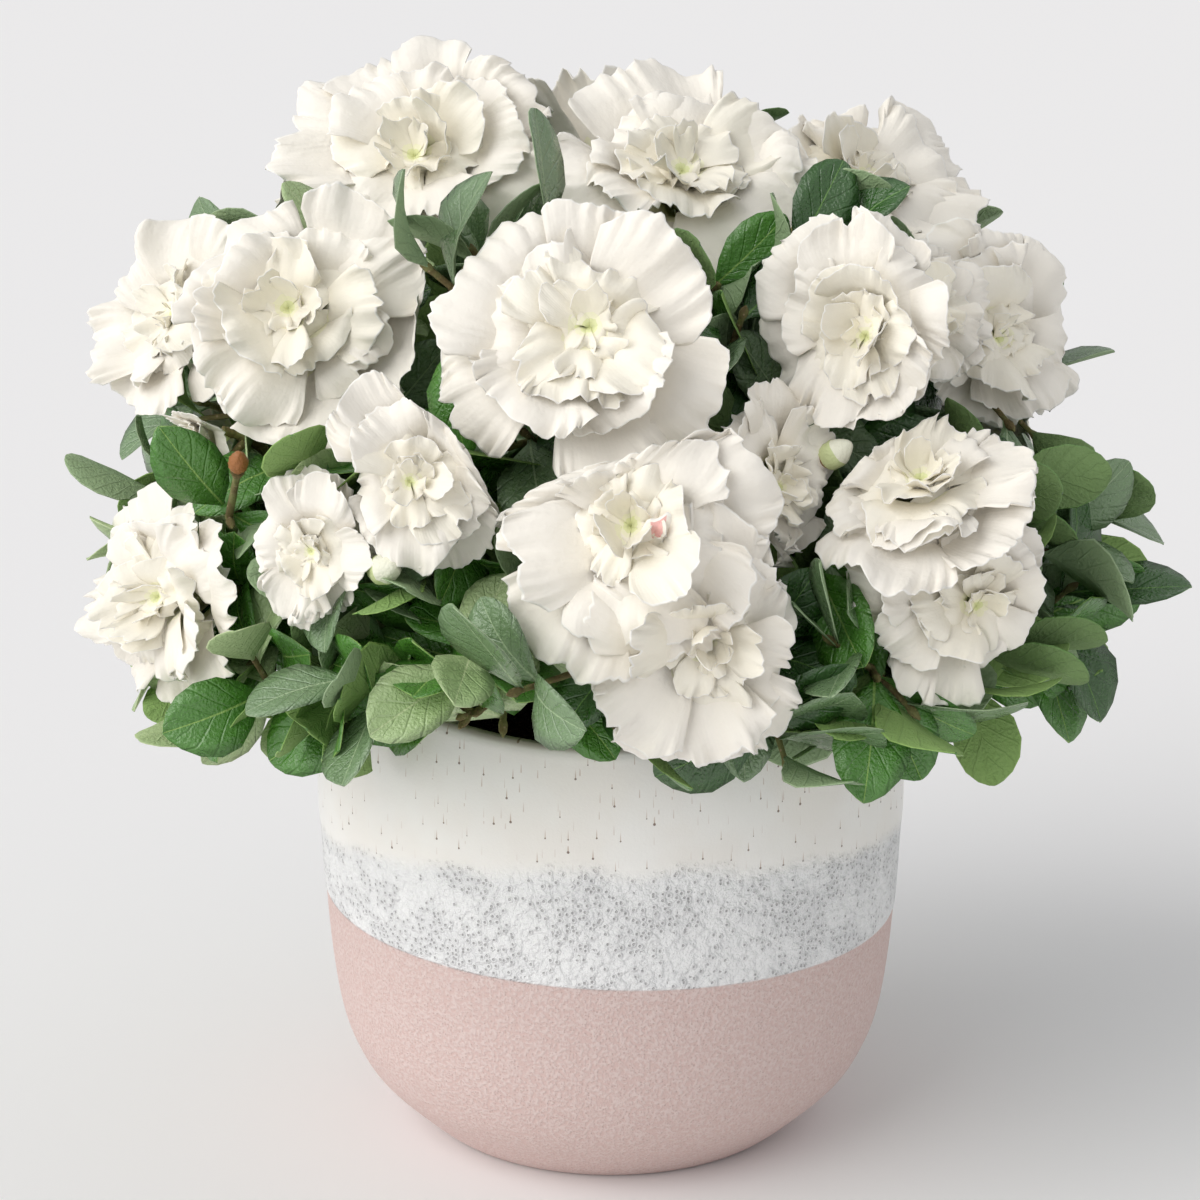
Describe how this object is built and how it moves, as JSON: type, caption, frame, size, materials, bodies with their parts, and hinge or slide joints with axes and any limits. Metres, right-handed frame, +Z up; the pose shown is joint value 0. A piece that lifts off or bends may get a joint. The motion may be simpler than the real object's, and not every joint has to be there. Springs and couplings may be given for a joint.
{
  "type": "potted azalea shrub",
  "caption": "Low round azalea bush with whorled leaves and ruffled double white blooms, standing in a round stoneware pot filled to just below its rim.",
  "frame": {"origin": "centre of the pot's flat underside", "axes": "+Z up the plant; -Y is the front that the picture shows, and +X is to its right"},
  "size_m": [0.2954, 0.2667, 0.3009],
  "materials": {
    "stoneware": "matt pink clay below, a pitted grey-white glaze band, glossy cream glaze at the rim",
    "compost": "dark, moist and crumbly",
    "bark": "thin rough brown bark",
    "foliage": "half-gloss green leaves with matt white petals"
  },
  "bodies": {
    "root": {"pot": "stoneware", "root_ball": "compost", "trunk": "bark", "bough_top_left": "bark", "foliage_top_left": "foliage", "bough_top": "bark", "foliage_top": "foliage", "bough_top_right": "bark", "foliage_top_right": "foliage", "bough_left_high": "bark", "foliage_left_high": "foliage", "bough_centre": "bark", "foliage_centre": "foliage", "bough_right_high": "bark", "foliage_right_high": "foliage", "bough_right_far": "bark", "foliage_right_far": "foliage", "bough_left_mid": "bark", "foliage_left_mid": "foliage", "bough_left_low": "bark", "foliage_left_low": "foliage", "bough_front": "bark", "foliage_front": "foliage", "bough_right_mid": "bark", "foliage_right_mid": "foliage", "bough_back_left": "bark", "foliage_back_left": "foliage", "bough_back_top": "bark", "foliage_back_top": "foliage", "bough_back_right": "bark", "foliage_back_right": "foliage", "bough_skirt_front": "bark", "foliage_skirt_front": "foliage", "bough_skirt_left": "bark", "foliage_skirt_left": "foliage", "bough_skirt_right": "bark", "foliage_skirt_right": "foliage", "bough_skirt_back_left": "bark", "foliage_skirt_back_left": "foliage", "bough_skirt_back_right": "bark", "foliage_skirt_back_right": "foliage", "bough_back_low": "bark", "foliage_back_low": "foliage"}
  },
  "joints": []
}
